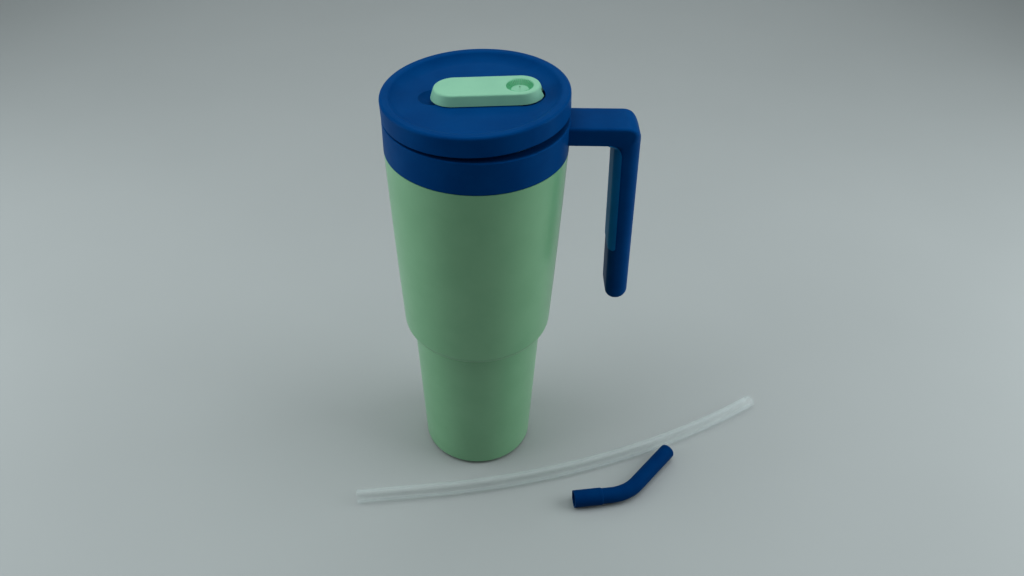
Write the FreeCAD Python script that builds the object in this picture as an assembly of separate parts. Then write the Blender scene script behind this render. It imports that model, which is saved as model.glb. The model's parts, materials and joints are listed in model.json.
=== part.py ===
import FreeCAD, Part
import math
import os

# Insulated 40 oz travel tumbler with a collar handle, a press-in flip lid, a straw and
# a bent silicone mouthpiece. Millimetres. The origin is the centre of the base on the
# tumbler's axis, +Z is up, and the handle points along +X.

# ---------------------------------------------------------------- driving dimensions
# Steel body, outer skin
FOOT_R = 34.9            # radius just above the foot rounding
FOOT_Z = 3.4
FOOT_UNDER_R = 32.6      # radius where the foot rounding meets the underside
UNDERSIDE_Z = 1.0
LOWER_TOP_R = 39.3       # radius at the top of the narrow, cup-holder part
LOWER_TOP_Z = 100.5
SHOULDER_R = 44.7        # radius where the shoulder rounding meets the upper wall
SHOULDER_Z = 107.0
UPPER_R = 49.9           # radius just under the collar
UPPER_Z = 225.0
UPPER_BULGE = 0.3        # outward swell of the upper wall at mid height
NECK_R = 47.4
LIP_Z = 240.5
OUTER_WALL = 0.8
INNER_WALL = 0.6
VACUUM_GAP = 2.2
INNER_FLOOR_Z = 6.0      # underside of the inner shell's floor
INNER_CORNER = 7.0

# Base
PLATE_R = 33.2
PLATE_T = 0.8
FLANGE_HOLE_R = 31.0     # hole in the outer skin's underside
PAD_R = 30.8
GETTER_R = 5.0
GETTER_T = 2.0
GETTER_X = 14.0

# Collar
COLLAR_R = 50.0
COLLAR_LOW_Z = 225.15
COLLAR_TOP_Z = 243.85
COLLAR_BORE_R = 43.6
COLLAR_SKIRT_Z = 231.0
COLLAR_ROOF_Z = 241.2
COLLAR_ROUND = 0.7

# Handle
STRAP_W = 24.0
ARM_TOP_Z = 242.0
ARM_LOW_Z = 231.3
GRIP_IN_TOP_X = 74.1     # inner face, its line carried up to the arm's top
GRIP_IN_LOW_X = 77.8     # inner face at the free end
GRIP_OUT_TOP_X = 87.6
GRIP_OUT_LOW_X = 90.5
GRIP_END_Z = 125.9
GRIP_OUT_ROUND = 7.0     # rounding of the grip's two outer long edges
GRIP_END_ROUND = 4.7     # rounding of the free end, seen from the front
BEND_OUT_R = 10.5
BEND_IN_R = 3.0
END_OUT_R = 4.5          # free end, seen from the side: outer corner
END_IN_R = 6.5           # inner corner
STRAP_EDGE_R = 2.0
SADDLE_T = 1.2           # root plate let into the collar's outer face
SADDLE_W = 28.0
SADDLE_RIM = 1.0         # how far the plate reaches above and below the arm
PAD_PROUD = 0.5
PAD_DEPTH = 3.7
PAD_LOW_Z = 163.0
PAD_ARM_DEPTH = 0.8      # how deep the pad's top end is let into the arm
PAD_BEND_R = 7.5         # bend of the seam between the pad and the frame
PAD_CORNER_R = 2.0

# Lid, in its own frame: z = 0 is the lower edge of the lid's side
LID_R = 50.0
LID_H = 11.2
LID_EDGE_R = 1.5
LID_FLOOR = 7.5          # dished top surface
RIM_CREST_R = 46.4       # inner edge of the rim's flat crest
RIM_FOOT_R = 38.0        # where the rim's inner slope meets the floor
RIM_TURN = 0.2           # share of the slope that is convex
LID_SKIN = 2.4
LID_SKIRT_IN_R = 47.4
LID_TILT = 2.8           # degrees, rest tilt; 0 when pressed home
LID_LOW_AZ = 175.0       # degrees, direction of the lid's low side
LID_REST_Z = 246.49      # height of the lid frame's origin at rest
PLUG_R = 41.0
PLUG_WALL_IN_R = 36.2
PLUG_LOW = -12.6
PLUG_SKIN = 2.0
PLUG_FLANGE_TOP = 2.4
GROOVE_R = 38.5
GROOVE_LOW = -10.3
GROOVE_TOP = -2.9
GASKET_IN_R = 39.1
GASKET_BODY_R = 41.3
GASKET_OUT_R = 43.1
GASKET_H = 2.2

# Flip cap, in the lid's frame
CAP_BASE = (-23.5, 36.05, 12.2)  # left end, right end, end radius
CAP_TOP = (-21.5, 33.8, 10.6)
CAP_LOW = 7.9
CAP_HIGH = 13.45
CAP_EDGE_R = 1.2
CAP_ROOF = 11.15
CAP_CAVITY = (-20.2, 15.0, 9.0)
HINGE_X = 30.4
HINGE_Z = 9.75
PIN_R = 0.9
PIN_FIT = 0.05
PIN_LEN = 15.0
EAR_W = 5.0
EAR_R = 1.9
EAR_GAP = 0.3
EAR_STEM = 1.1
WELL_X = 23.4            # left end of the well that the cap's hinge end turns in
WELL_LOW = 3.4
WELL_GAP = 0.5
WELL_WALL = 1.5
DISH_X = 23.3            # round dish in the cap's top, with a slit in its floor
DISH_Y = -0.6
DISH_R = 7.5
DISH_FLOOR_R = 5.0
DISH_DEPTH = 2.4
SLIT_LEN = 6.4
SLIT_W = 0.6
SLIT_DEPTH = 0.4
SCOOP_X = -21.5          # finger scoop in the lid round the cap's lifting end
SCOOP_R = 8.5
SCOOP_DEPTH = 3.0
SCOOP_BOSS_R = 7.5

# Straw port and vent, in the lid's frame
PORT_X = -3.5
PORT_BORE_R = 4.45
PORT_R = 6.6
PORT_FLANGE_R = 8.0
PORT_FLANGE_T = 0.9
PORT_LOW = -2.0
PORT_BOSS_R = 8.8
SEAL_IN_R = 5.2
SEAL_OUT_R = 7.6
VENT_X = 10.5
VENT_R = 1.5
VENT_CAP_R = 4.5
VENT_CAP_T = 0.9
VENT_STEM = 4.0
TUBE_WALL = 1.8          # wall of the plug's tubes round the port and the vent

# Straw and mouthpiece, lying on the table beside the tumbler
STRAW_R = 4.3
STRAW_BORE_R = 3.3
STRAW_START = (-76.15, -65.4)
STRAW_HEADING = 6.4      # degrees
STRAW_STRAIGHT = 47.4
STRAW_ARC = 239.6        # length of the curved stretch
STRAW_TURN = 27.0        # degrees it turns through
TIP_START = (62.3, -67.5)
TIP_HEADING = 7.5
TIP_TURN = 41.5
TIP_FIRST = 35.2         # from the sleeve's mouth to the corner of the bend
TIP_LAST = 47.4          # from the corner to the mouth end
TIP_BEND_R = 28.0
TIP_SLEEVE_R = 5.5
TIP_SLEEVE_LEN = 18.6
TIP_SOCKET_LEN = 14.0
TIP_SOCKET_R = 4.25
TIP_TUBE_R = 5.0
TIP_BORE_R = 3.2
TIP_END_ROUND = 0.8
TIP_TAPER = 0.8          # length of the step from the sleeve down to the tube

Z_AXIS = FreeCAD.Vector(0, 0, 1)
ORIGIN = FreeCAD.Vector(0, 0, 0)


# ---------------------------------------------------------------- helpers
def rz(r, z):
    """A point of a revolved profile."""
    return FreeCAD.Vector(r, 0, z)


def xy(x, y, z=0.0):
    return FreeCAD.Vector(x, y, z)


def line(a, b):
    return Part.LineSegment(a, b).toShape()


def arc(a, mid, b):
    return Part.Arc(a, mid, b).toShape()


def chain(points):
    """Straight edges through a list of points."""
    return [line(a, b) for a, b in zip(points, points[1:])]


def corner_arc(centre, radius, deg_a, deg_b):
    """Arc in the XZ plane about a centre, between two angles from +X towards +Z."""
    def at(deg):
        a = math.radians(deg)
        return centre + FreeCAD.Vector(radius * math.cos(a), 0, radius * math.sin(a))
    return arc(at(deg_a), at(0.5 * (deg_a + deg_b)), at(deg_b))


def revolve(edges):
    """Turn a closed chain of edges in the XZ plane into a solid about Z."""
    face = Part.Face(Part.Wire(Part.__sortEdges__(edges)))
    return face.revolve(ORIGIN, Z_AXIS, 360)


def ring(r_in, r_out, z_low, z_high):
    solid = Part.makeCylinder(r_out, z_high - z_low, xy(0, 0, z_low))
    if r_in > 0:
        solid = solid.cut(Part.makeCylinder(r_in, z_high - z_low, xy(0, 0, z_low)))
    return solid


def tangent_mid(start, tangent, end):
    """Middle point of the arc that leaves start along tangent and reaches end."""
    chord = end - start
    normal = FreeCAD.Vector(tangent.z, 0, -tangent.x).normalize()
    if chord.dot(normal) < 0:
        normal = normal * -1
    radius = chord.Length ** 2 / (2 * chord.dot(normal))
    centre = start + normal * radius
    half = (start + end) * 0.5 - centre
    return centre + half.normalize() * radius


def round_edges(solid, radius, chosen):
    """Fillet the edges that a test picks."""
    edges = [e for e in solid.Edges if chosen(e)]
    return solid.makeFillet(radius, edges)


def stadium(spec, z, grow=0.0):
    """Closed wire of two half circles and two straights, lying along X."""
    left, right, radius = spec
    r = radius + grow
    xa = left + radius
    xb = right - radius
    edges = [
        line(xy(xa, -r, z), xy(xb, -r, z)),
        arc(xy(xb, -r, z), xy(xb + r, 0, z), xy(xb, r, z)),
        line(xy(xb, r, z), xy(xa, r, z)),
        arc(xy(xa, r, z), xy(xa - r, 0, z), xy(xa, -r, z)),
    ]
    return Part.Wire(edges)


def stadium_prism(spec, z_low, z_high, grow=0.0):
    face = Part.Face(stadium(spec, z_low, grow))
    return face.extrude(xy(0, 0, z_high - z_low))


def lid_pose(tilt):
    """Placement of the lid's frame, tilted about a tangent at its low side."""
    az = math.radians(LID_LOW_AZ)
    low = xy(LID_R * math.cos(az), LID_R * math.sin(az))
    axis = xy(-math.sin(az), math.cos(az))
    seated_z = LID_REST_Z - LID_R * math.sin(math.radians(LID_TILT))
    turn = FreeCAD.Rotation(axis, tilt)
    origin = low + turn.multVec(low * -1) + xy(0, 0, seated_z)
    return FreeCAD.Placement(origin, turn)


def place_lid(solid, tilt=LID_TILT):
    placed = solid.copy()
    placed.transformShape(lid_pose(tilt).toMatrix())
    return placed


# ---------------------------------------------------------------- steel body
def body_side(inset):
    """Edges of the body's side from the foot to the top of the upper wall."""
    foot = rz(FOOT_R - inset, FOOT_Z)
    waist = rz(LOWER_TOP_R - inset, LOWER_TOP_Z)
    shoulder = rz(SHOULDER_R - inset, SHOULDER_Z)
    top = rz(UPPER_R - inset, UPPER_Z)
    middle = (shoulder + top) * 0.5 + rz(UPPER_BULGE, 0)
    round_mid = tangent_mid(shoulder, shoulder - middle, waist)
    return [line(foot, waist), arc(waist, round_mid, shoulder), arc(shoulder, middle, top)]


def outer_shell():
    w = OUTER_WALL
    foot_mid = rz(FOOT_R - 0.75, UNDERSIDE_Z + 0.75)
    outline = body_side(0) + body_side(w)
    outline.append(arc(rz(FOOT_UNDER_R, UNDERSIDE_Z), foot_mid, rz(FOOT_R, FOOT_Z)))
    outline += chain([
        rz(FOOT_UNDER_R, UNDERSIDE_Z),
        rz(FLANGE_HOLE_R, UNDERSIDE_Z),
        rz(FLANGE_HOLE_R, UNDERSIDE_Z + w),
        rz(PLATE_R, UNDERSIDE_Z + w),
        rz(FOOT_R - w, FOOT_Z),
    ])
    outline += chain([
        rz(UPPER_R, UPPER_Z),
        rz(NECK_R, UPPER_Z),
        rz(NECK_R, LIP_Z),
        rz(NECK_R - w, LIP_Z),
        rz(NECK_R - w, UPPER_Z - w),
        rz(UPPER_R - w, UPPER_Z - w),
        rz(UPPER_R - w, UPPER_Z),
    ])
    return revolve(outline)


def inner_shell():
    neck = NECK_R - OUTER_WALL
    skin = OUTER_WALL + VACUUM_GAP

    def half(inset, floor_z, r_neck):
        side_r = FOOT_R - inset
        waist = rz(LOWER_TOP_R - inset, LOWER_TOP_Z)
        shoulder = rz(SHOULDER_R - inset, SHOULDER_Z)
        upper = rz(r_neck, UPPER_Z - OUTER_WALL)
        corner_top = rz(side_r, floor_z + INNER_CORNER)
        corner_low = rz(side_r - INNER_CORNER, floor_z)
        bow = INNER_CORNER * (1 - math.sqrt(0.5))
        corner_mid = rz(side_r - bow, floor_z + bow)
        round_mid = tangent_mid(shoulder, shoulder - upper, waist)
        return [
            line(rz(0, floor_z), corner_low),
            arc(corner_low, corner_mid, corner_top),
            line(corner_top, waist),
            arc(waist, round_mid, shoulder),
            line(shoulder, upper),
            line(upper, rz(r_neck, LIP_Z)),
        ]

    wall = INNER_WALL
    edges = half(skin, INNER_FLOOR_Z, neck)
    edges += half(skin + wall, INNER_FLOOR_Z + wall, neck - wall)
    edges.append(line(rz(0, INNER_FLOOR_Z), rz(0, INNER_FLOOR_Z + wall)))
    edges.append(line(rz(neck, LIP_Z), rz(neck - wall, LIP_Z)))
    return revolve(edges)


def base_plate():
    low = UNDERSIDE_Z + OUTER_WALL
    return ring(0, PLATE_R, low, low + PLATE_T)


def vacuum_getter():
    low = UNDERSIDE_Z + OUTER_WALL + PLATE_T
    pill = Part.makeCylinder(GETTER_R, GETTER_T, xy(GETTER_X, 0, low))
    return round_edges(pill, 0.5, lambda e: e.BoundBox.ZMin > low + GETTER_T - 0.1)


def base_pad():
    pad = ring(0, PAD_R, 0, UNDERSIDE_Z + OUTER_WALL)
    return round_edges(pad, 0.4, lambda e: e.BoundBox.ZMax < 0.1)


# ---------------------------------------------------------------- collar
def collar_ring():
    c = COLLAR_ROUND
    k = c * (1 - math.sqrt(0.5))
    skirt_r = NECK_R - OUTER_WALL - INNER_WALL
    edges = chain([
        rz(NECK_R, COLLAR_LOW_Z),
        rz(COLLAR_R - 0.3, COLLAR_LOW_Z),
        rz(COLLAR_R, COLLAR_LOW_Z + 0.3),
        rz(COLLAR_R, COLLAR_TOP_Z - c),
    ])
    edges.append(arc(rz(COLLAR_R, COLLAR_TOP_Z - c), rz(COLLAR_R - k, COLLAR_TOP_Z - k),
                     rz(COLLAR_R - c, COLLAR_TOP_Z)))
    edges.append(line(rz(COLLAR_R - c, COLLAR_TOP_Z), rz(COLLAR_BORE_R + c, COLLAR_TOP_Z)))
    edges.append(arc(rz(COLLAR_BORE_R + c, COLLAR_TOP_Z),
                     rz(COLLAR_BORE_R + k, COLLAR_TOP_Z - k),
                     rz(COLLAR_BORE_R, COLLAR_TOP_Z - c)))
    edges += chain([
        rz(COLLAR_BORE_R, COLLAR_TOP_Z - c),
        rz(COLLAR_BORE_R, COLLAR_SKIRT_Z),
        rz(skirt_r, COLLAR_SKIRT_Z),
        rz(skirt_r, COLLAR_ROOF_Z),
        rz(NECK_R, COLLAR_ROOF_Z),
        rz(NECK_R, COLLAR_LOW_Z),
    ])
    return revolve(edges).cut(handle_saddle())


def neck_seal():
    inner_face = NECK_R - OUTER_WALL - INNER_WALL
    return ring(inner_face, NECK_R, LIP_Z, COLLAR_ROOF_Z)


# ---------------------------------------------------------------- handle
def handle_saddle():
    """Curved root plate of the handle, flush with the collar's outer face."""
    low = ARM_LOW_Z - SADDLE_RIM
    high = ARM_TOP_Z + SADDLE_RIM
    shell = ring(COLLAR_R - SADDLE_T, COLLAR_R, low, high)
    block = Part.makeBox(COLLAR_R, SADDLE_W, high - low, xy(0, -SADDLE_W / 2, low))
    return shell.common(block)


def inner_x(z):
    """X of the grip's leaning inner face at height z."""
    t = (ARM_TOP_Z - z) / (ARM_TOP_Z - GRIP_END_Z)
    return GRIP_IN_TOP_X + (GRIP_IN_LOW_X - GRIP_IN_TOP_X) * t


def outer_x(z):
    """X of the grip's leaning outer face at height z."""
    t = (ARM_TOP_Z - z) / (ARM_TOP_Z - GRIP_END_Z)
    return GRIP_OUT_TOP_X + (GRIP_OUT_LOW_X - GRIP_OUT_TOP_X) * t


def side_outline(grow):
    """Edges of the inverted-L strap seen from the side."""
    length = ARM_TOP_Z - GRIP_END_Z
    lean_in = math.degrees(math.atan2(GRIP_IN_LOW_X - GRIP_IN_TOP_X, length))
    lean_out = math.degrees(math.atan2(GRIP_OUT_LOW_X - GRIP_OUT_TOP_X, length))
    top = ARM_TOP_Z + grow
    under = ARM_LOW_Z - grow
    end = GRIP_END_Z - grow
    out_r = BEND_OUT_R + grow
    in_r = BEND_IN_R - grow
    end_out_r = END_OUT_R + grow
    end_in_r = END_IN_R + grow
    root_x = COLLAR_R - SADDLE_T - 0.8
    bend_out = rz(outer_x(top - out_r) + grow - out_r, top - out_r)
    bend_in = rz(inner_x(under - in_r) - grow - in_r, under - in_r)
    end_out = rz(outer_x(end + end_out_r) + grow - end_out_r, end + end_out_r)
    end_in = rz(inner_x(end + end_in_r) - grow + end_in_r, end + end_in_r)
    arcs = [
        corner_arc(bend_out, out_r, 90, lean_out),
        corner_arc(end_out, end_out_r, lean_out, -90),
        corner_arc(end_in, end_in_r, -90, -180 + lean_in),
        corner_arc(bend_in, in_r, lean_in, 90),
    ]
    starts = [a.Vertexes[0].Point for a in arcs]
    ends = [a.Vertexes[1].Point for a in arcs]
    return arcs + [
        line(rz(root_x, top), starts[0]),
        line(ends[0], starts[1]),
        line(ends[1], starts[2]),
        line(ends[2], starts[3]),
        line(ends[3], rz(root_x, under)),
        line(rz(root_x, under), rz(root_x, top)),
    ]


def rounded_end(half, grow):
    """Prism through the strap whose front outline rounds off the free end."""
    r = GRIP_END_ROUND + grow
    low = GRIP_END_Z - grow
    top = ARM_TOP_Z + 20
    k = r * (1 - math.sqrt(0.5))

    def yz(y, z):
        return FreeCAD.Vector(0, y, z)

    edges = [
        line(yz(-half + r, low), yz(half - r, low)),
        arc(yz(half - r, low), yz(half - k, low + k), yz(half, low + r)),
        line(yz(half, low + r), yz(half, top)),
        line(yz(half, top), yz(-half, top)),
        line(yz(-half, top), yz(-half, low + r)),
        arc(yz(-half, low + r), yz(-half + k, low + k), yz(-half + r, low)),
    ]
    return Part.Face(Part.Wire(edges)).extrude(FreeCAD.Vector(120, 0, 0))


def rounded_back(half):
    """Leaning prism whose plan rounds off the grip's two outer long edges."""
    r = GRIP_OUT_ROUND
    low = GRIP_END_Z - 5
    high = ARM_TOP_Z + 5
    x = outer_x(low)
    k = r * (1 - math.sqrt(0.5))
    edges = [
        line(xy(0, -half, low), xy(x - r, -half, low)),
        arc(xy(x - r, -half, low), xy(x - k, -half + k, low), xy(x, -half + r, low)),
        line(xy(x, -half + r, low), xy(x, half - r, low)),
        arc(xy(x, half - r, low), xy(x - k, half - k, low), xy(x - r, half, low)),
        line(xy(x - r, half, low), xy(0, half, low)),
        line(xy(0, half, low), xy(0, -half, low)),
    ]
    return Part.Face(Part.Wire(edges)).extrude(FreeCAD.Vector(outer_x(high) - x, 0, high - low))


def strap(grow):
    """The inverted-L strap, with every face but the outer one moved out by grow."""
    half = STRAP_W / 2 + grow
    face = Part.Face(Part.Wire(Part.__sortEdges__(side_outline(grow))))
    face.translate(FreeCAD.Vector(0, -half, 0))
    solid = face.extrude(FreeCAD.Vector(0, 2 * half, 0))

    def long_edge(edge):
        box = edge.BoundBox
        return box.YLength < 0.01 and box.XMax > COLLAR_R + 1

    solid = round_edges(solid, STRAP_EDGE_R + grow, long_edge)
    return solid.common(rounded_back(half)).common(rounded_end(half, grow))


def pad_zone():
    """The stretch of the strap's inner side that the grip pad takes up."""
    low = PAD_LOW_Z
    seam_top = ARM_LOW_Z + PAD_ARM_DEPTH
    bend_z = seam_top - PAD_BEND_R
    seam_x = inner_x(bend_z) + PAD_DEPTH
    low_x = inner_x(low)
    reach = 4.0
    c = PAD_CORNER_R
    k = c * (1 - math.sqrt(0.5))
    bend = corner_arc(rz(seam_x - PAD_BEND_R, bend_z), PAD_BEND_R, 0, 90)
    start = bend.Vertexes[0].Point
    finish = bend.Vertexes[1].Point
    seam_low_x = low_x + PAD_DEPTH
    edges = [
        bend,
        line(finish, rz(finish.x, ARM_LOW_Z - reach)),
        line(rz(finish.x, ARM_LOW_Z - reach), rz(low_x - reach, low)),
        line(rz(low_x - reach, low), rz(seam_low_x - c, low)),
        arc(rz(seam_low_x - c, low), rz(seam_low_x - k, low + k), rz(seam_low_x, low + c)),
        line(rz(seam_low_x, low + c), start),
    ]
    face = Part.Face(Part.Wire(Part.__sortEdges__(edges)))
    face.translate(FreeCAD.Vector(0, -STRAP_W, 0))
    return face.extrude(FreeCAD.Vector(0, 2 * STRAP_W, 0))


def handle_frame():
    inside = Part.makeCylinder(COLLAR_R - 0.01, ARM_TOP_Z, xy(0, 0, ARM_LOW_Z - 60))
    arm = strap(0).cut(inside).cut(pad_zone())
    return arm.fuse(handle_saddle()).removeSplitter()


def grip_pad():
    return strap(PAD_PROUD).common(pad_zone())


# ---------------------------------------------------------------- lid
def lid_cover():
    e = LID_EDGE_R
    k = e * (1 - math.sqrt(0.5))
    ceiling = LID_FLOOR - LID_SKIN
    crest = rz(RIM_CREST_R, LID_H)
    foot = rz(RIM_FOOT_R, LID_FLOOR)
    turn = crest + (foot - crest) * RIM_TURN
    edges = chain([
        foot,
        rz(0, LID_FLOOR),
        rz(0, ceiling),
        rz(LID_SKIRT_IN_R - 1.2, ceiling),
        rz(LID_SKIRT_IN_R, ceiling - 1.2),
        rz(LID_SKIRT_IN_R, 0),
        rz(LID_R - 0.5, 0),
        rz(LID_R, 0.5),
        rz(LID_R, LID_H - e),
    ])
    edges.append(arc(rz(LID_R, LID_H - e), rz(LID_R - k, LID_H - k), rz(LID_R - e, LID_H)))
    edges.append(line(rz(LID_R - e, LID_H), crest))
    edges.append(arc(crest, tangent_mid(crest, rz(-1, 0), turn), turn))
    edges.append(arc(turn, tangent_mid(foot, rz(1, 0), turn), foot))
    cover = revolve(edges)
    cover = cut_well(cover)
    cover = cut_scoop(cover)
    cover = cover.fuse(hinge_ear())
    cover = cover.cut(hinge_bore(PIN_LEN, PIN_R))
    cover = cover.cut(Part.makeCylinder(PORT_R, 20, xy(PORT_X, 0, -5)))
    cover = cover.cut(Part.makeCylinder(VENT_R, 20, xy(VENT_X, 0, -5)))
    return cover.removeSplitter()


def cut_well(cover):
    """Sink a walled well for the hinge end of the cap."""
    wall_side = Part.makeBox(60, 60, 20, xy(WELL_X - WELL_WALL, -30, -5))
    well_side = Part.makeBox(60, 60, 20, xy(WELL_X, -30, -5))
    wall = stadium_prism(CAP_BASE, PLUG_FLANGE_TOP, LID_FLOOR, WELL_GAP + WELL_WALL)
    well = stadium_prism(CAP_BASE, WELL_LOW, LID_H, WELL_GAP)
    return cover.fuse(wall.common(wall_side)).cut(well.common(well_side))


def cut_scoop(cover):
    """Hollow a shallow finger scoop, leaving the straw port's boss standing."""
    ball_r = (SCOOP_R ** 2 + SCOOP_DEPTH ** 2) / (2 * SCOOP_DEPTH)
    ball = Part.makeSphere(ball_r, xy(SCOOP_X, 0, LID_FLOOR - SCOOP_DEPTH + ball_r))
    height = LID_FLOOR - PLUG_FLANGE_TOP
    under = Part.makeCylinder(SCOOP_BOSS_R, height, xy(SCOOP_X, 0, PLUG_FLANGE_TOP))
    boss = Part.makeCylinder(PORT_BOSS_R, height, xy(PORT_X, 0, PLUG_FLANGE_TOP))
    return cover.fuse(under).cut(ball).fuse(boss)


def hinge_ear():
    """Upright lug from the well's floor, with the pin through its head."""
    head = Part.makeCylinder(EAR_R, EAR_W, xy(HINGE_X, -EAR_W / 2, HINGE_Z), xy(0, 1, 0))
    stem = Part.makeBox(2 * EAR_STEM, EAR_W, HINGE_Z - WELL_LOW + 0.5,
                        xy(HINGE_X - EAR_STEM, -EAR_W / 2, WELL_LOW - 0.5))
    return head.fuse(stem)


def hinge_bore(length, radius):
    return Part.makeCylinder(radius, length, xy(HINGE_X, -length / 2, HINGE_Z), xy(0, 1, 0))


def lid_plug():
    top = PLUG_FLANGE_TOP
    floor = PLUG_LOW + PLUG_SKIN
    edges = chain([
        rz(0, PLUG_LOW),
        rz(PLUG_R - 1.0, PLUG_LOW),
        rz(PLUG_R, PLUG_LOW + 1.0),
        rz(PLUG_R, GROOVE_LOW),
        rz(GROOVE_R, GROOVE_LOW),
        rz(GROOVE_R, GROOVE_TOP),
        rz(PLUG_R, GROOVE_TOP),
        rz(PLUG_R, 0.2),
        rz(LID_SKIRT_IN_R, 0.2),
        rz(LID_SKIRT_IN_R, top),
        rz(PLUG_WALL_IN_R, top),
        rz(PLUG_WALL_IN_R, floor),
        rz(0, floor),
        rz(0, PLUG_LOW),
    ])
    plug = revolve(edges)
    tube = Part.makeCylinder(PORT_R + TUBE_WALL, top - PLUG_LOW, xy(PORT_X, 0, PLUG_LOW))
    vent = Part.makeCylinder(VENT_R + TUBE_WALL, top - PLUG_LOW, xy(VENT_X, 0, PLUG_LOW))
    plug = plug.fuse(tube).fuse(vent)
    plug = plug.cut(Part.makeCylinder(PORT_R, 20, xy(PORT_X, 0, PORT_LOW)))
    plug = plug.cut(Part.makeCylinder(PORT_BORE_R + 0.9, 30, xy(PORT_X, 0, -20)))
    plug = plug.cut(Part.makeCylinder(VENT_R, 30, xy(VENT_X, 0, -20)))
    return plug.removeSplitter()


def lid_gasket():
    """Wiper ring: a flat body in the plug's groove and a thin lip to the bore."""
    mid = (GROOVE_LOW + GROOVE_TOP) / 2
    h = GASKET_H / 2
    edges = chain([
        rz(GASKET_IN_R, mid - h),
        rz(GASKET_BODY_R, mid - h),
        rz(GASKET_OUT_R - 0.5, mid - 0.2),
        rz(GASKET_OUT_R, mid + 0.3),
        rz(GASKET_OUT_R - 0.4, mid + 0.7),
        rz(GASKET_BODY_R + 0.3, mid + h),
        rz(GASKET_IN_R, mid + h),
        rz(GASKET_IN_R, mid - h),
    ])
    return revolve(edges)


def straw_port():
    """Silicone grommet that grips the straw in the lid."""
    top = LID_FLOOR + PORT_FLANGE_T
    body = Part.makeCylinder(PORT_R, LID_FLOOR - PORT_LOW, xy(PORT_X, 0, PORT_LOW))
    flange = Part.makeCylinder(PORT_FLANGE_R, PORT_FLANGE_T, xy(PORT_X, 0, LID_FLOOR))
    flange = round_edges(flange, 0.4, lambda e: e.BoundBox.ZMin > top - 0.01)
    bore = Part.makeCylinder(PORT_BORE_R, 20, xy(PORT_X, 0, -10))
    return body.fuse(flange).cut(bore).removeSplitter()


def vent_valve():
    """Silicone umbrella valve under the plug, held by its stem."""
    cap = Part.makeCone(VENT_CAP_R, VENT_CAP_R - 0.8, VENT_CAP_T,
                        xy(VENT_X, 0, PLUG_LOW), xy(0, 0, -1))
    stem = Part.makeCylinder(VENT_R, VENT_STEM, xy(VENT_X, 0, PLUG_LOW))
    return cap.fuse(stem).removeSplitter()


# ---------------------------------------------------------------- flip cap
def flip_cap():
    body = Part.makeLoft([stadium(CAP_BASE, CAP_LOW), stadium(CAP_TOP, CAP_HIGH)],
                         True, True)
    body = round_edges(body, CAP_EDGE_R, lambda e: e.BoundBox.ZMin > CAP_HIGH - 0.05)
    body = body.cut(stadium_prism(CAP_CAVITY, CAP_LOW - 1, CAP_ROOF))
    floor_z = CAP_HIGH - DISH_DEPTH
    dish = Part.makeCone(DISH_FLOOR_R, DISH_R, DISH_DEPTH, xy(DISH_X, DISH_Y, floor_z))
    slit = Part.makeBox(SLIT_W, SLIT_LEN, SLIT_DEPTH + 1,
                        xy(DISH_X - SLIT_W / 2, DISH_Y - SLIT_LEN / 2, floor_z - SLIT_DEPTH))
    body = body.cut(dish).cut(slit)
    body = body.cut(ear_slot())
    bore = Part.makeCylinder(PIN_R + PIN_FIT, 30, xy(HINGE_X, -PIN_LEN / 2 - 0.2, HINGE_Z),
                             xy(0, 1, 0))
    return body.cut(bore)


def ear_slot():
    """Room for the hinge ear as the cap turns from closed to upright."""
    width = EAR_W + 2 * EAR_GAP
    head = Part.makeCylinder(EAR_R + EAR_GAP, width, xy(HINGE_X, -width / 2, HINGE_Z),
                             xy(0, 1, 0))
    drop = 6.0
    rise = EAR_STEM + 0.7
    left = EAR_STEM + 0.5
    sweep = Part.makeBox(20, width, drop + rise,
                         xy(HINGE_X - left, -width / 2, HINGE_Z - drop))
    return head.fuse(sweep)


def cap_seal():
    """Silicone ring under the cap that closes round the straw port."""
    low = LID_FLOOR + PORT_FLANGE_T + 0.1
    seal = Part.makeCylinder(SEAL_OUT_R, CAP_ROOF - low, xy(PORT_X, 0, low))
    return seal.cut(Part.makeCylinder(SEAL_IN_R, 10, xy(PORT_X, 0, low - 1)))


def cap_pin():
    return hinge_bore(PIN_LEN, PIN_R)


# ---------------------------------------------------------------- straw and mouthpiece
def heading(deg):
    a = math.radians(deg)
    return xy(math.cos(a), math.sin(a))


def swept_tube(path, start, direction, r_out, r_in):
    """Hollow tube of one radius along a path of tangent lines and arcs."""
    outer = Part.Wire([Part.makeCircle(r_out, start, direction)])
    inner = Part.Wire([Part.makeCircle(r_in, start, direction)])
    solid = path.makePipeShell([outer], True, True)
    return solid.cut(path.makePipeShell([inner], True, True))


def straw():
    direction = heading(STRAW_HEADING)
    side = heading(STRAW_HEADING + 90)
    start = xy(STRAW_START[0], STRAW_START[1], STRAW_R)
    bend_start = start + direction * STRAW_STRAIGHT
    radius = STRAW_ARC / math.radians(STRAW_TURN)
    centre = bend_start + side * radius
    mid = centre - heading(STRAW_HEADING + 90 + STRAW_TURN / 2) * radius
    end = centre - heading(STRAW_HEADING + 90 + STRAW_TURN) * radius
    path = Part.Wire([line(start, bend_start), arc(bend_start, mid, end)])
    return swept_tube(path, start, direction, STRAW_R, STRAW_BORE_R)


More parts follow.
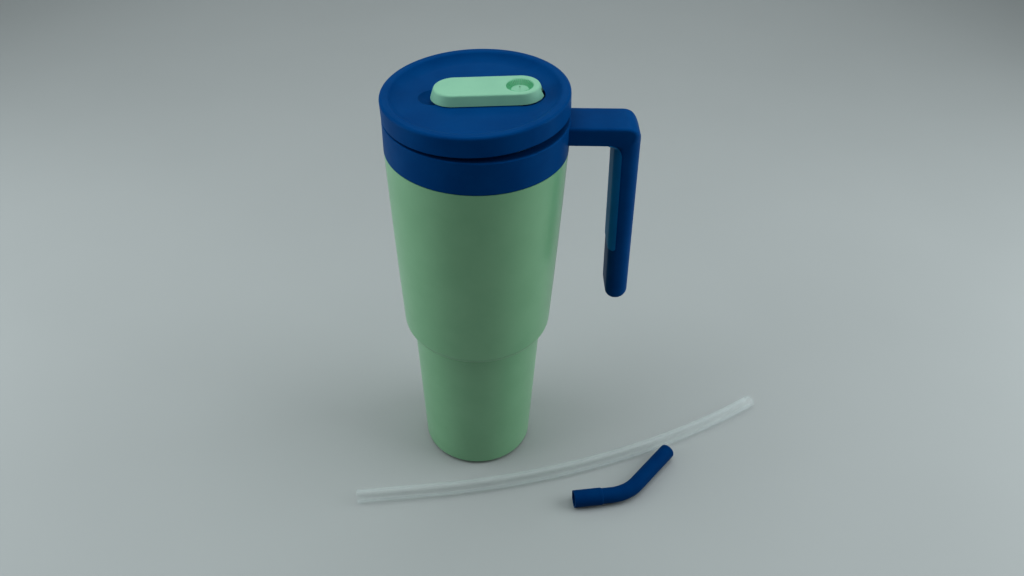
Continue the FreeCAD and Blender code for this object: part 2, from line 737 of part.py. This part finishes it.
def straw_tip():
    d_in = heading(TIP_HEADING)
    d_out = heading(TIP_HEADING + TIP_TURN)
    start = xy(TIP_START[0], TIP_START[1], TIP_SLEEVE_R)
    corner = start + d_in * TIP_FIRST
    cut = TIP_BEND_R * math.tan(math.radians(TIP_TURN / 2))
    bend_start = corner - d_in * cut
    bend_end = corner + d_out * cut
    centre = bend_start + heading(TIP_HEADING + 90) * TIP_BEND_R
    mid = centre - heading(TIP_HEADING + 90 + TIP_TURN / 2) * TIP_BEND_R
    end = corner + d_out * TIP_LAST
    path = Part.Wire([line(start, bend_start), arc(bend_start, mid, bend_end),
                      line(bend_end, end)])
    tube = path.makePipeShell([Part.Wire([Part.makeCircle(TIP_TUBE_R, start, d_in)])],
                              True, True)
    tube = round_edges(tube, TIP_END_ROUND,
                       lambda e: (e.CenterOfMass - end).Length < 0.1)
    straight = TIP_SLEEVE_LEN - TIP_TAPER
    sleeve = Part.makeCylinder(TIP_SLEEVE_R, straight, start, d_in)
    taper = Part.makeCone(TIP_SLEEVE_R, TIP_TUBE_R, TIP_TAPER, start + d_in * straight, d_in)
    bore = path.makePipeShell([Part.Wire([Part.makeCircle(TIP_BORE_R, start, d_in)])],
                              True, True)
    socket = Part.makeCylinder(TIP_SOCKET_R, TIP_SOCKET_LEN, start, d_in)
    return tube.fuse(sleeve).fuse(taper).cut(bore).cut(socket).removeSplitter()


# ---------------------------------------------------------------- nodes
def lid_nodes():
    half_tilt = LID_TILT / 2
    return {
        "lid_cover": place_lid(lid_cover()),
        "lid_plug": place_lid(lid_plug()),
        "straw_port": place_lid(straw_port()),
        "vent_valve": place_lid(vent_valve()),
        "cap_pin": place_lid(cap_pin()),
        "flip_cap": place_lid(flip_cap()),
        "cap_seal": place_lid(cap_seal()),
        "lid_gasket": place_lid(lid_gasket(), half_tilt),
    }


def nodes():
    parts = {
        "outer_shell": outer_shell(),
        "inner_shell": inner_shell(),
        "base_plate": base_plate(),
        "vacuum_getter": vacuum_getter(),
        "base_pad": base_pad(),
        "neck_seal": neck_seal(),
        "collar_ring": collar_ring(),
        "handle_frame": handle_frame(),
        "grip_pad": grip_pad(),
        "straw": straw(),
        "straw_tip": straw_tip(),
    }
    parts.update(lid_nodes())
    return parts


def main():
    os.makedirs("parts", exist_ok=True)
    for name, shape in nodes().items():
        solid = shape.Solids[0] if len(shape.Solids) == 1 else shape
        box = solid.BoundBox
        print("%-14s solids %d valid %s volume %9.1f mm3  z %.2f to %.2f" % (
            name, len(shape.Solids), solid.isValid(), solid.Volume, box.ZMin, box.ZMax))
        solid.exportStep("parts/%s.step" % name)


main()
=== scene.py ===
import json
import math
import bmesh
import bpy
from mathutils import Matrix, Vector


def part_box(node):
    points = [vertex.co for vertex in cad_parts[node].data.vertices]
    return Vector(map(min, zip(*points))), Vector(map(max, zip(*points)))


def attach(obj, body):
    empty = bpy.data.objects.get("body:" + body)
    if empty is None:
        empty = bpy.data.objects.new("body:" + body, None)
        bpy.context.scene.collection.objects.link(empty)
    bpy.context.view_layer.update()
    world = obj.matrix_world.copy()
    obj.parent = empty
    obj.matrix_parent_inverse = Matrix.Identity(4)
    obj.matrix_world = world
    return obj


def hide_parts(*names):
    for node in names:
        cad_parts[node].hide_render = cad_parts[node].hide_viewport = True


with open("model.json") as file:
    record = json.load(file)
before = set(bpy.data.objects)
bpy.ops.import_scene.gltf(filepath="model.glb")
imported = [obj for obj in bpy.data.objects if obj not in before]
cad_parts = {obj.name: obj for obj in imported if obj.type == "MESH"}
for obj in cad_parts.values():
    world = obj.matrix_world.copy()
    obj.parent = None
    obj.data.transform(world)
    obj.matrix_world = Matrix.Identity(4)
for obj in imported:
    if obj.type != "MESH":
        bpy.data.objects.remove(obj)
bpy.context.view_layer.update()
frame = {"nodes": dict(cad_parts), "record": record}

MM = 0.001


# ---------------------------------------------------------------- camera
def make_camera():
    """Camera in front of the mug and above it, looking down at the straw and the lid."""
    position = Vector((0.00983, -0.42890, 0.47993))
    pitch = math.radians(39.65)
    yaw = math.radians(1.52)
    roll = math.radians(1.455)
    ahead = Vector((math.sin(yaw) * math.cos(pitch), math.cos(yaw) * math.cos(pitch),
                    -math.sin(pitch)))
    side = Vector((math.cos(yaw), -math.sin(yaw), 0.0))
    rise = side.cross(ahead)
    right = side * math.cos(roll) + rise * math.sin(roll)
    up = rise * math.cos(roll) - side * math.sin(roll)
    data = bpy.data.cameras.new("camera")
    data.lens = 32.0
    data.sensor_width = 36.0
    data.clip_start = 0.02
    data.clip_end = 20.0
    camera = bpy.data.objects.new("camera", data)
    bpy.context.scene.collection.objects.link(camera)
    turn = Matrix((right, up, -ahead)).transposed().to_4x4()
    camera.matrix_world = Matrix.Translation(position) @ turn
    bpy.context.scene.camera = camera


# ---------------------------------------------------------------- materials
def new_material(name):
    """A material with its node tree and its shader."""
    material = bpy.data.materials.new(name)
    material.use_nodes = True
    tree = material.node_tree
    shader = tree.nodes["Principled BSDF"]
    return material, tree, shader


def add(tree, kind, **values):
    """A new shader node with the given settings."""
    node = tree.nodes.new(kind)
    for key, value in values.items():
        setattr(node, key, value)
    return node


def noise(tree, scale, detail=3.0, roughness=0.55):
    """Noise in the row frame's own metres."""
    place = add(tree, "ShaderNodeTexCoord")
    node = add(tree, "ShaderNodeTexNoise")
    node.inputs["Scale"].default_value = scale
    node.inputs["Detail"].default_value = detail
    node.inputs["Roughness"].default_value = roughness
    tree.links.new(place.outputs["Object"], node.inputs["Vector"])
    return node.outputs["Fac"]


def ramp(tree, factor, stops):
    """Colours along a 0 to 1 factor."""
    node = add(tree, "ShaderNodeValToRGB")
    elements = node.color_ramp.elements
    while len(elements) < len(stops):
        elements.new(0.5)
    for element, (place, colour) in zip(elements, stops):
        element.position = place
        element.color = (*colour, 1.0)
    tree.links.new(factor, node.inputs["Fac"])
    return node.outputs["Color"]


def spread(tree, factor, low, high):
    """Map a 0 to 1 factor onto a range."""
    node = add(tree, "ShaderNodeMapRange")
    node.inputs["To Min"].default_value = low
    node.inputs["To Max"].default_value = high
    tree.links.new(factor, node.inputs["Value"])
    return node.outputs["Result"]


def bump(tree, shader, height, strength, distance):
    node = add(tree, "ShaderNodeBump")
    node.inputs["Strength"].default_value = strength
    node.inputs["Distance"].default_value = distance
    tree.links.new(height, node.inputs["Height"])
    tree.links.new(node.outputs["Normal"], shader.inputs["Normal"])


def moulded(name, dark, light, rough=(0.40, 0.50), grain=2600.0, depth=0.00002,
            strength=0.25, mottle=60.0, level=0.5, tint=(1.0, 1.0, 1.0), sheen=0.0):
    """Moulded or coated surface: soft colour mottle, uneven gloss and a fine grain."""
    material, tree, shader = new_material(name)
    colour = ramp(tree, noise(tree, mottle), [(0.35, dark), (0.65, light)])
    tree.links.new(colour, shader.inputs["Base Color"])
    gloss = spread(tree, noise(tree, mottle * 3.0), rough[0], rough[1])
    tree.links.new(gloss, shader.inputs["Roughness"])
    bump(tree, shader, noise(tree, grain, 2.0), strength, depth)
    shader.inputs["Specular IOR Level"].default_value = level
    shader.inputs["Specular Tint"].default_value = (*tint, 1.0)
    shader.inputs["Sheen Weight"].default_value = sheen
    shader.inputs["Sheen Roughness"].default_value = 0.5
    return material


def steel(name, dark, light, rough=(0.22, 0.34)):
    """Brushed stainless steel, its scratches running round the axis."""
    material, tree, shader = new_material(name)
    place = add(tree, "ShaderNodeTexCoord")
    stretch = add(tree, "ShaderNodeMapping")
    stretch.inputs["Scale"].default_value = (6.0, 6.0, 2600.0)
    tree.links.new(place.outputs["Object"], stretch.inputs["Vector"])
    lines = add(tree, "ShaderNodeTexNoise")
    lines.inputs["Scale"].default_value = 1.0
    lines.inputs["Detail"].default_value = 4.0
    tree.links.new(stretch.outputs["Vector"], lines.inputs["Vector"])
    colour = ramp(tree, lines.outputs["Fac"], [(0.35, dark), (0.65, light)])
    tree.links.new(colour, shader.inputs["Base Color"])
    gloss = spread(tree, lines.outputs["Fac"], rough[0], rough[1])
    tree.links.new(gloss, shader.inputs["Roughness"])
    bump(tree, shader, lines.outputs["Fac"], 0.15, 0.00001)
    shader.inputs["Metallic"].default_value = 1.0
    return material


def clear_plastic():
    """Clear extruded plastic: nearly invisible face on, milky where the wall is seen edge on."""
    material, tree, shader = new_material("clear_plastic")
    colour = ramp(tree, noise(tree, 90.0), [(0.3, (0.82, 0.90, 0.91)), (0.7, (0.88, 0.95, 0.96))])
    tree.links.new(colour, shader.inputs["Base Color"])
    gloss = spread(tree, noise(tree, 40.0), 0.10, 0.18)
    tree.links.new(gloss, shader.inputs["Roughness"])
    facing = add(tree, "ShaderNodeLayerWeight")
    facing.inputs["Blend"].default_value = 0.22
    alpha = spread(tree, facing.outputs["Facing"], 0.02, 0.50)
    tree.links.new(alpha, shader.inputs["Alpha"])
    shader.inputs["Specular IOR Level"].default_value = 0.8
    return material


BLUE_GLOSS = (0.0, 0.42, 1.0)   # the blue pigment also colours the plastic's soft gloss


def make_materials():
    blue = {"level": 0.05, "tint": BLUE_GLOSS}
    return {
        "mint_powder_coat": moulded("mint_powder_coat", (0.196, 0.415, 0.234),
                                    (0.215, 0.440, 0.253), rough=(0.26, 0.33), grain=3200.0,
                                    depth=0.00003, strength=0.3, mottle=40.0, level=0.7),
        "blue_plastic": moulded("blue_plastic", (0.0002, 0.054, 0.190), (0.0004, 0.062, 0.210),
                                rough=(0.38, 0.46), **blue),
        "teal_grip": moulded("teal_grip", (0.003, 0.155, 0.390), (0.004, 0.170, 0.430),
                             rough=(0.45, 0.55), level=0.15, tint=(0.10, 0.70, 1.0)),
        "mint_plastic": moulded("mint_plastic", (0.272, 0.53, 0.378), (0.292, 0.56, 0.398),
                                rough=(0.42, 0.50), level=0.35, tint=(0.7, 1.0, 0.9)),
        # Darker, deeper green copy of mint_plastic: painted shade for the dish's far wall, where
        # the ribs stand.
        "mint_dish_shade": moulded("mint_dish_shade", (0.15, 0.50, 0.28), (0.17, 0.53, 0.30),
                             rough=(0.45, 0.55), level=0.3),
        "mint_silicone": moulded("mint_silicone", (0.27, 0.57, 0.40), (0.29, 0.60, 0.43),
                                 rough=(0.5, 0.6), sheen=0.2),
        "blue_silicone": moulded("blue_silicone", (0.0002, 0.034, 0.128),
                                 (0.0004, 0.041, 0.143), rough=(0.48, 0.58), **blue),
        "clear_silicone": moulded("clear_silicone", (0.62, 0.65, 0.64), (0.70, 0.73, 0.72),
                                  rough=(0.45, 0.55)),
        "dark_silicone": moulded("dark_silicone", (0.018, 0.020, 0.024), (0.026, 0.028, 0.032),
                                 rough=(0.6, 0.7)),
        "getter_metal": moulded("getter_metal", (0.20, 0.19, 0.18), (0.30, 0.29, 0.28),
                                rough=(0.6, 0.75)),
        "brushed_steel": steel("brushed_steel", (0.52, 0.52, 0.51), (0.66, 0.66, 0.65)),
        "pin_steel": steel("pin_steel", (0.48, 0.48, 0.48), (0.60, 0.60, 0.60)),
        "clear_plastic": clear_plastic(),
    }


def dress_nodes(materials):
    """Give every CAD node the material of its slot."""
    for entry in frame["record"]["subparts"]:
        node = frame["nodes"][entry["node"]]
        node.data.materials.clear()
        node.data.materials.append(materials[entry["material_slot"]])


# ---------------------------------------------------------------- mesh helpers
def smoothstep(low, high, value):
    """0 up to low, 1 from high on, and an even rise between them."""
    t = min(max((value - low) / (high - low), 0.0), 1.0)
    return t * t * (3.0 - 2.0 * t)


def mix(first, last, t):
    """From first, at t of 0, to last, at t of 1."""
    return first + (last - first) * t


def new_piece(name, vertices, faces, sharp=40.0):
    """Mesh object in the row frame from points in millimetres, shaded smooth."""
    mesh = bpy.data.meshes.new(name)
    mesh.from_pydata([Vector(v) * MM for v in vertices], [], faces)
    mesh.validate()
    finish_mesh(mesh, sharp)
    piece = bpy.data.objects.new(name, mesh)
    bpy.context.scene.collection.objects.link(piece)
    return piece


def finish_mesh(mesh, sharp=40.0):
    """Outward normals, smooth shading and creases where faces meet at an angle."""
    work = bmesh.new()
    work.from_mesh(mesh)
    bmesh.ops.recalc_face_normals(work, faces=work.faces)
    work.to_mesh(mesh)
    work.free()
    for polygon in mesh.polygons:
        polygon.use_smooth = True
    mesh.set_sharp_from_angle(angle=math.radians(sharp))


def round_edges(piece, width):
    """Bevel modifier on the piece's sharp edges, its width in millimetres."""
    bevel = piece.modifiers.new("edge", "BEVEL")
    bevel.width = width * MM
    bevel.segments = 3
    bevel.limit_method = "ANGLE"
    bevel.angle_limit = math.radians(50.0)


def bake_modifiers(piece, sharp=40.0):
    """Replace the piece's mesh with what its modifiers make of it."""
    graph = bpy.context.evaluated_depsgraph_get()
    mesh = bpy.data.meshes.new_from_object(piece.evaluated_get(graph))
    piece.modifiers.clear()
    piece.data = mesh
    finish_mesh(mesh, sharp)


def loft(sections):
    """Closed skin through rings of equally many points, with flat ends."""
    count = len(sections[0])
    vertices = [point for ring in sections for point in ring]
    faces = []
    for i in range(len(sections) - 1):
        for j in range(count):
            k = (j + 1) % count
            faces.append((i * count + j, i * count + k,
                          (i + 1) * count + k, (i + 1) * count + j))
    faces.append(tuple(range(count)))
    faces.append(tuple(range((len(sections) - 1) * count, len(sections) * count)))
    return vertices, faces


def dress(piece, body, slot_name, *nodes):
    """Give a piece its material and slot, the body it rides and the nodes it stands for."""
    piece.data.materials.clear()
    piece.data.materials.append(materials[slot_name])
    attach(piece, body)
    if nodes:
        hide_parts(*nodes)


# ---------------------------------------------------------------- handle
# Millimetres. Heights and the outer face come from the CAD frame's box.
ARM_THICK = 10.7
COLLAR_R = 50.0
ROOT_SINK = 2.0          # how far the arm runs into the collar
PLATE_RIM = 1.0          # the root plate's reach above the arm and below it
PLATE_HALF = 14.0        # half its width
PLATE_SINK = 1.1         # how far it runs into the collar
PLATE_PROUD = 0.05       # and stands out of it, so that no two faces coincide
PLATE_LIP = 0.25         # rounding of its edge
GRIP_DEPTH_TOP = 14.1    # outer face to inner face, at the arm's top
GRIP_DEPTH_LOW = 13.2    # and at the free end
LEAN_OUT = 2.9           # how far the outer face leans out from top to end
STRAP_HALF = 12.0        # half the strap's width
ARM_EDGE_UNDER = 1.5     # edge radii of the arm, crisp
ARM_EDGE_TOP = 1.7
GRIP_EDGE_IN = 5.0       # and of the grip, round
GRIP_EDGE_OUT = 7.0
BEND_OUT = 8.6           # outer radius of the side outline's bend
BEND_IN = 3.0            # and the inner one
END_IN = 4.5             # rounding of the free end on the inner side
END_OUT = 4.5            # on the outer side
END_SIDE = 3.5           # and at front and back
PAD_DEPTH = 3.7          # how far the pad wraps round the strap's inner side
PAD_LIFT = 0.4           # how far it stands proud
PAD_LOW = 162.3          # height of its lower end
PAD_ARM = 0.8            # its seam's height above the arm's underside
PAD_BEND = 7.5           # radius of the seam at the bend
PAD_CORNER = 2.0         # and at the lower end
PAD_LIP = 0.3            # rounding of its edge
ARM_STEPS = 8
BEND_STEPS = 20
GRIP_STEPS = 12
END_STEPS = 14
PLATE_STEPS = 16
PAD_CORNER_STEPS = 6
PAD_BEND_STEPS = 16


class Strap:
    """Side outline of the inverted-L handle and its rounded cross-sections."""

    def __init__(self):
        low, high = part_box("handle_frame")
        self.end = low.z / MM
        self.top = high.z / MM - PLATE_RIM
        self.under = self.top - ARM_THICK
        self.out_end = high.x / MM

    def fall(self, z):
        """How far down the grip a height is: 0 at the top and 1 at the free end."""
        return (self.top - z) / (self.top - self.end)

    def outer(self, z):
        return self.out_end - LEAN_OUT * (1.0 - self.fall(z))

    def inner(self, z):
        return self.outer(z) - mix(GRIP_DEPTH_TOP, GRIP_DEPTH_LOW, self.fall(z))

    def stations(self):
        """(inner point, outer point, half width, inner and outer edge radius) on the way."""
        root = COLLAR_R - ROOT_SINK
        in_c = (self.inner(self.under - BEND_IN) - BEND_IN, self.under - BEND_IN)
        out_c = (self.outer(self.top - BEND_OUT) - BEND_OUT, self.top - BEND_OUT)
        steps = []
        for i in range(ARM_STEPS + 1):
            t = i / ARM_STEPS
            steps.append(((mix(root, in_c[0], t), self.under), (mix(root, out_c[0], t), self.top),
                          STRAP_HALF, ARM_EDGE_UNDER, ARM_EDGE_TOP))
        for i in range(1, BEND_STEPS + 1):
            t = i / BEND_STEPS
            a = math.radians(90.0 * (1.0 - t))
            edge_in = mix(ARM_EDGE_UNDER, GRIP_EDGE_IN, smoothstep(0.3, 1.0, t))
            edge_out = mix(ARM_EDGE_TOP, GRIP_EDGE_OUT, smoothstep(0.35, 1.0, t))
            steps.append(((in_c[0] + BEND_IN * math.cos(a), in_c[1] + BEND_IN * math.sin(a)),
                          (out_c[0] + BEND_OUT * math.cos(a), out_c[1] + BEND_OUT * math.sin(a)),
                          STRAP_HALF, edge_in, edge_out))
        stop = self.end + END_IN
        for i in range(1, GRIP_STEPS + 1):
            z_in = mix(in_c[1], stop, i / GRIP_STEPS)
            z_out = mix(out_c[1], stop, i / GRIP_STEPS)
            steps.append(((self.inner(z_in), z_in), (self.outer(z_out), z_out),
                          STRAP_HALF, GRIP_EDGE_IN, GRIP_EDGE_OUT))
        for i in range(1, END_STEPS + 1):
            rise = END_IN * (1.0 - math.sin(math.radians(90.0 * i / END_STEPS)))
            z = self.end + rise

            def dip(radius):
                gone = max(radius - rise, 0.0)
                return radius - math.sqrt(max(radius ** 2 - gone ** 2, 0.0))

            steps.append(((self.inner(z) + dip(END_IN), z), (self.outer(z) - dip(END_OUT), z),
                          STRAP_HALF - dip(END_SIDE), GRIP_EDGE_IN, GRIP_EDGE_OUT))
        return steps

    def sections(self, grow=0.0):
        """The rings of points round the strap, grown by a distance in millimetres."""
        rings = []
        for inner, outer, half, r_in, r_out in self.stations():
            a = Vector((inner[0], 0.0, inner[1]))
            b = Vector((outer[0], 0.0, outer[1]))
            depth = (b - a).length
            across = (b - a).normalized()
            rings.append(rounded_ring(a - across * grow, across, depth + 2 * grow,
                                      half + grow, r_in + grow, r_out + grow))
        return rings


def rounded_ring(start, across, depth, half, r_in, r_out, turns=9):
    """Rounded rectangle of points: depth along across, and half to each side in Y."""
    spare = 0.98         # keeps neighbouring corners a little apart
    limit = min(1.0, spare * depth / (r_in + r_out), spare * half / max(r_in, r_out))
    r_in *= limit
    r_out *= limit
    corners = [(r_in, half - r_in, r_in, 90.0), (r_in, -half + r_in, r_in, 180.0),
               (depth - r_out, -half + r_out, r_out, 270.0),
               (depth - r_out, half - r_out, r_out, 360.0)]
    points = []
    for along, side, radius, first in corners:
        for i in range(turns):
            a = math.radians(first + 90.0 * i / (turns - 1))
            u = along + radius * math.cos(a)
            v = side + radius * math.sin(a)
            points.append(start + across * u + Vector((0.0, v, 0.0)))
    return points


def pad_outline(strap):
    """Side outline of the stretch of the handle that the grip pad wraps."""
    reach = 6.0          # how far it runs past the strap's inner side
    seam_top = strap.under + PAD_ARM
    bend_z = seam_top - PAD_BEND
    seam_x = strap.inner(bend_z) + PAD_DEPTH
    low_x = strap.inner(PAD_LOW)
    outline = [(low_x - reach, PAD_LOW)]
    for i in range(PAD_CORNER_STEPS + 1):
        a = math.radians(-90.0 + 90.0 * i / PAD_CORNER_STEPS)
        outline.append((low_x + PAD_DEPTH - PAD_CORNER + PAD_CORNER * math.cos(a),
                        PAD_LOW + PAD_CORNER + PAD_CORNER * math.sin(a)))
    for i in range(PAD_BEND_STEPS + 1):
        a = math.radians(90.0 * i / PAD_BEND_STEPS)
        outline.append((seam_x - PAD_BEND + PAD_BEND * math.cos(a),
                        bend_z + PAD_BEND * math.sin(a)))
    outline.append((seam_x - PAD_BEND, seam_top - reach))
    return outline


def make_handle():
    """The strap with its root plate, and the soft pad let into its inner side."""
    strap = Strap()
    frame_piece = new_piece("handle_strap", *loft(strap.sections()), sharp=50.0)
    dress(frame_piece, "tumbler", "blue_plastic", "handle_frame")
    make_root_plate(strap)
    pad = new_piece("grip_wrap", *loft(strap.sections(PAD_LIFT)))
    reach = 2.0 * STRAP_HALF
    outline = pad_outline(strap)
    rings = [[Vector((x, y, z)) for x, z in outline] for y in (-reach, reach)]
    zone = new_piece("grip_zone", *loft(rings))
    cut = pad.modifiers.new("zone", "BOOLEAN")
    cut.operation = "INTERSECT"
    cut.solver = "EXACT"
    cut.object = zone
    round_edges(pad, PAD_LIP)
    bake_modifiers(pad)
    bpy.data.objects.remove(zone)
    dress(pad, "tumbler", "teal_grip", "grip_pad")


def make_root_plate(strap):
    """Curved plate that joins the handle to the collar, flush with the collar."""
    low = strap.under - PLATE_RIM
    high = strap.top + PLATE_RIM
    angle = math.asin(PLATE_HALF / COLLAR_R)
    rings = []
    for i in range(PLATE_STEPS + 1):
        a = -angle + 2.0 * angle * i / PLATE_STEPS
        ring = []
        for radius, z in ((COLLAR_R - PLATE_SINK, low), (COLLAR_R + PLATE_PROUD, low),
                          (COLLAR_R + PLATE_PROUD, high), (COLLAR_R - PLATE_SINK, high)):
            ring.append(Vector((radius * math.cos(a), radius * math.sin(a), z)))
        rings.append(ring)
    plate = new_piece("handle_root_plate", *loft(rings))
    round_edges(plate, PLATE_LIP)
    bake_modifiers(plate)
    dress(plate, "tumbler", "blue_plastic", "handle_frame")


# ---------------------------------------------------------------- flip cap
# Millimetres, in the lid's own frame, whose tilt is the range that the lid rocks through.
DISH_X = 23.3            # centre of the round dish
DISH_Y = -0.6
DISH_R = 7.5
DISH_FLOOR_R = 5.0
DISH_DEPTH = 2.4
CAP_TOP = 13.45
HINGE_X = 30.4
HINGE_Z = 9.75
RIBS = 40
RIB_HALF = 0.19          # half a rib's width
RIB_STEP = 0.22          # how far below the cap's top the ribs start
RIB_SINK = 0.05          # how far they run into the dish's floor
RIB_HEAD = (-0.95, -0.05)    # inner and outer radius at their top, measured from DISH_R
RIB_FOOT = (-0.55, 0.15)     # and at their bottom, measured from DISH_FLOOR_R


def lid_matrix():
    """From the lid's own frame to the row frame."""
    joints = {joint["name"]: joint for joint in frame["record"]["behaviour"]["joints"]}
    rock = joints["lid_rock"]
    tilt = -math.radians(rock["range_deg"][0])
    turn = Matrix.Rotation(tilt, 3, Vector(rock["axis"]))
    hinge = Vector(joints["cap_flip"]["pos_m"]) / MM
    place = hinge - turn @ Vector((HINGE_X, 0.0, HINGE_Z))
    return Matrix.Translation(place) @ turn.to_4x4()


def make_dish_ribs():
    """Fine ribs that stand on the sloping wall of the cap's round dish."""
    matrix = lid_matrix()
    low = CAP_TOP - DISH_DEPTH - RIB_SINK
    high = CAP_TOP - RIB_STEP
    profile = [(DISH_FLOOR_R + RIB_FOOT[0], low), (DISH_FLOOR_R + RIB_FOOT[1], low),
               (DISH_R + RIB_HEAD[1], high), (DISH_R + RIB_HEAD[0], high)]
    vertices = []
    faces = []
    for i in range(RIBS):
        a = 2.0 * math.pi * (i + 0.5) / RIBS
        out = Vector((math.cos(a), math.sin(a), 0.0))
        side = Vector((-math.sin(a), math.cos(a), 0.0))
        first = len(vertices)
        for half in (-RIB_HALF, RIB_HALF):
            for r, z in profile:
                point = Vector((DISH_X, DISH_Y, z)) + out * r + side * half
                vertices.append(matrix @ point)
        faces.append(tuple(first + k for k in (0, 1, 2, 3)))
        faces.append(tuple(first + k for k in (7, 6, 5, 4)))
        for k in range(4):
            n = (k + 1) % 4
            faces.append((first + k, first + 4 + k, first + 4 + n, first + n))
    ribs = new_piece("cap_dish_ribs", vertices, faces, sharp=30.0)
    dress(ribs, "cap", "mint_plastic")
    # The ribs take the darker mint copy: painted shade on the dish's far wall.
    ribs.data.materials[0] = materials["mint_dish_shade"]


# ---------------------------------------------------------------- straw
# Millimetres and degrees, as in the CAD part.
STRAW_R = 4.3
STRAW_BORE = 3.3         # radius of the bore
STRAW_SOFT = 0.3         # rounding of the rim
STRAW_HEADING = 6.4      # direction of the straight stretch
STRAW_STRAIGHT = 47.4    # its length
STRAW_ARC = 239.6        # length of the curved stretch
STRAW_TURN = 27.0        # and how far it turns
STRAW_STEPS = 140
STRAW_AROUND = 48


def make_straw():
    """Clear tube with a smooth wall and softly rounded ends, straight and then curved."""
    steps = STRAW_STEPS
    around = STRAW_AROUND
    length = STRAW_STRAIGHT + STRAW_ARC
    path = []
    point = Vector((0.0, 0.0, 0.0))
    for i in range(steps + 1):
        s = length * i / steps
        turn = STRAW_TURN * max(s - STRAW_STRAIGHT, 0.0) / STRAW_ARC
        a = math.radians(STRAW_HEADING + turn)
        path.append((point.copy(), a))
        point += Vector((math.cos(a), math.sin(a), 0.0)) * length / steps
    rows = [(0, STRAW_BORE), (0, STRAW_R - STRAW_SOFT)]
    rows += [(i, STRAW_R) for i in range(steps + 1)]
    rows += [(steps, STRAW_R - STRAW_SOFT), (steps, STRAW_BORE)]
    rows += [(i, STRAW_BORE) for i in range(steps - 1, 0, -1)]
    vertices = []
    for row, (i, radius) in enumerate(rows):
        centre, a = path[i]
        shift = {2: STRAW_SOFT, steps + 2: -STRAW_SOFT}.get(row, 0.0)
        ahead = Vector((math.cos(a), math.sin(a), 0.0))
        side = Vector((-math.sin(a), math.cos(a), 0.0))
        for j in range(around):
            b = 2.0 * math.pi * j / around
            spoke = side * math.cos(b) + Vector((0.0, 0.0, 1.0)) * math.sin(b)
            vertices.append(centre + ahead * shift + spoke * radius)
    faces = []
    for i in range(len(rows)):
        n = (i + 1) % len(rows)
        for j in range(around):
            k = (j + 1) % around
            faces.append((i * around + j, i * around + k, n * around + k, n * around + j))
    straw = new_piece("straw_tube", vertices, faces, sharp=35.0)
    centre_on_node(straw, "straw")
    dress(straw, "straw", "clear_plastic", "straw")


def centre_on_node(piece, node):
    """Move a piece's mesh so that its box has the same centre as the CAD node's."""
    low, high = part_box(node)
    points = [v.co for v in piece.data.vertices]
    own_low = Vector([min(p[i] for p in points) for i in range(3)])
    own_high = Vector([max(p[i] for p in points) for i in range(3)])
    piece.data.transform(Matrix.Translation((low + high - own_low - own_high) / 2))


# ---------------------------------------------------------------- stage
PANEL_COLOUR = (0.92, 1.0, 1.0)


def make_floor():
    """A plain pale sweep that rises behind the mug."""
    width = 3.0
    front = -1.2
    bend = 1.0
    radius = 0.6
    height = 2.0
    profile = [(front, 0.0), (bend, 0.0)]
    steps = 16
    for i in range(1, steps + 1):
        a = 0.5 * math.pi * i / steps
        profile.append((bend + radius * math.sin(a), radius * (1 - math.cos(a))))
    profile.append((bend + radius, height))
    vertices = [(x, y, z) for y, z in profile for x in (-width / 2, width / 2)]
    faces = [(2 * i, 2 * i + 1, 2 * i + 3, 2 * i + 2) for i in range(len(profile) - 1)]
    mesh = bpy.data.meshes.new("floor")
    mesh.from_pydata(vertices, [], faces)
    for polygon in mesh.polygons:
        polygon.use_smooth = True
    floor = bpy.data.objects.new("floor", mesh)
    bpy.context.scene.collection.objects.link(floor)
    material, tree, shader = new_material("floor_paper")
    colour = ramp(tree, noise(tree, 3.0), [(0.3, (0.400, 0.412, 0.417)),
                                           (0.7, (0.420, 0.432, 0.437))])
    tree.links.new(colour, shader.inputs["Base Color"])
    shader.inputs["Roughness"].default_value = 0.75
    mesh.materials.append(material)


def area_light(name, place, target, size, power):
    """Rectangular light panel that the camera doesn't see."""
    data = bpy.data.lights.new(name, "AREA")
    data.shape = "RECTANGLE"
    data.size = size[0]
    data.size_y = size[1]
    data.energy = power
    data.color = PANEL_COLOUR
    light = bpy.data.objects.new(name, data)
    light.location = place
    light.visible_camera = False
    aim = Vector(target) - Vector(place)
    light.rotation_euler = aim.to_track_quat("-Z", "Y").to_euler()
    bpy.context.scene.collection.objects.link(light)


def make_lights():
    """A light tent: soft panels left, right and above, and one over the backdrop."""
    target = (0.0, 0.0, 0.12)
    area_light("left_panel", (-0.72, -0.06, 0.38), target, (0.7, 0.8), 3.5)
    area_light("right_panel", (0.78, -0.06, 0.42), target, (0.7, 0.8), 4.1)
    area_light("top_panel", (0.0, 0.06, 1.3), (0.0, 0.0, 0.0), (1.3, 1.1), 8.2)
    area_light("back_panel", (0.0, 1.0, 0.9), (0.0, 1.0, 0.0), (1.8, 0.6), 2.7)
    world = bpy.data.worlds.new("world")
    world.use_nodes = True
    background = world.node_tree.nodes["Background"]
    background.inputs["Color"].default_value = (0.88, 0.97, 1.0, 1.0)
    background.inputs["Strength"].default_value = 0.045
    bpy.context.scene.world = world
    bpy.context.scene.view_settings.view_transform = "Standard"
    bpy.context.scene.view_settings.look = "Medium High Contrast"


make_camera()
materials = make_materials()
dress_nodes(materials)
make_handle()
make_dish_ribs()
make_straw()
make_floor()
make_lights()
